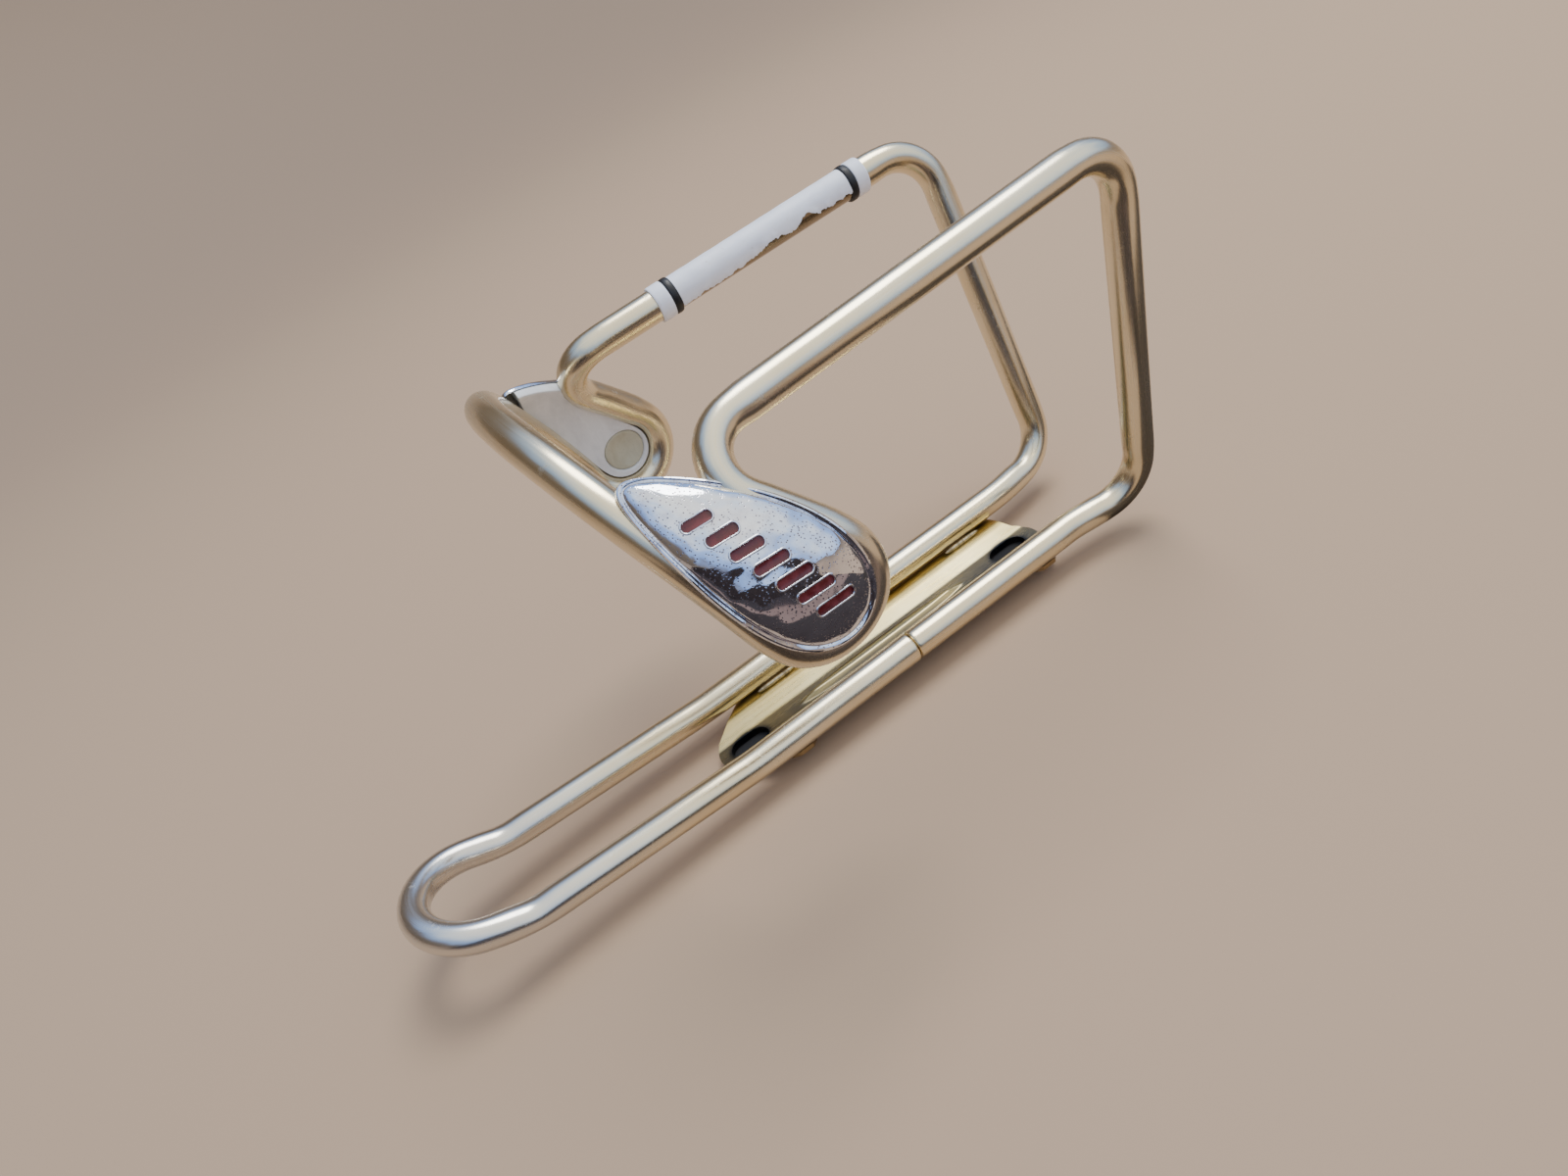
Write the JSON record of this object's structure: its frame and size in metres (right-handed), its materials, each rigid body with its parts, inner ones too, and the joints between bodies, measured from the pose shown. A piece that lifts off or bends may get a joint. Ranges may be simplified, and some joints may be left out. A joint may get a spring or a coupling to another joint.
{
  "type": "water bottle cage",
  "caption": "Bent-tube bottle cage: rails with a tongue, arms under the bottle's base, side loops with chrome badges joined by an arch, slotted mounting plate.",
  "frame": {"origin": "back face of the mounting plate, midway between the two bolt slots", "axes": "+Z away from the bicycle's tube towards the bottle, +X along the rails towards the arms that carry the bottle's base, +Y to the side that carries the label"},
  "size_m": [0.1645, 0.0932, 0.0844],
  "materials": {
    "anodised_tube": "pale champagne anodised, satin",
    "dowel": "plain turned",
    "anodised_plate": "straw anodised, matt",
    "filler_metal": "brazed fillet",
    "chrome_cap": "bright chrome plate, lightly pitted",
    "red_enamel": "dark red enamel infill",
    "grey_plastic": "smooth grey moulding",
    "grey_stud": "smooth grey moulding",
    "black_band": "black elastic band",
    "white_label": "white paper and film, worn"
  },
  "bodies": {
    "root": {"badge_bar_far_1": "red_enamel", "badge_bar_far_2": "red_enamel", "badge_bar_far_3": "red_enamel", "badge_bar_far_4": "red_enamel", "badge_bar_far_5": "red_enamel", "badge_bar_far_6": "red_enamel", "badge_bar_far_7": "red_enamel", "badge_bar_near_1": "red_enamel", "badge_bar_near_2": "red_enamel", "badge_bar_near_3": "red_enamel", "badge_bar_near_4": "red_enamel", "badge_bar_near_5": "red_enamel", "badge_bar_near_6": "red_enamel", "badge_bar_near_7": "red_enamel", "badge_cap_far": "chrome_cap", "badge_cap_near": "chrome_cap", "badge_pad_far": "grey_plastic", "badge_pad_near": "grey_plastic", "badge_stud_far": "grey_stud", "badge_stud_near": "grey_stud", "braze_far_lower": "filler_metal", "braze_far_upper": "filler_metal", "braze_near_lower": "filler_metal", "braze_near_upper": "filler_metal", "frame_tube": "anodised_tube", "joint_pin": "dowel", "label_band_inner": "black_band", "label_band_outer": "black_band", "label_collar_inner": "white_label", "label_collar_outer": "white_label", "label_wrap": "white_label", "mount_plate": "anodised_plate"}
  },
  "joints": []
}
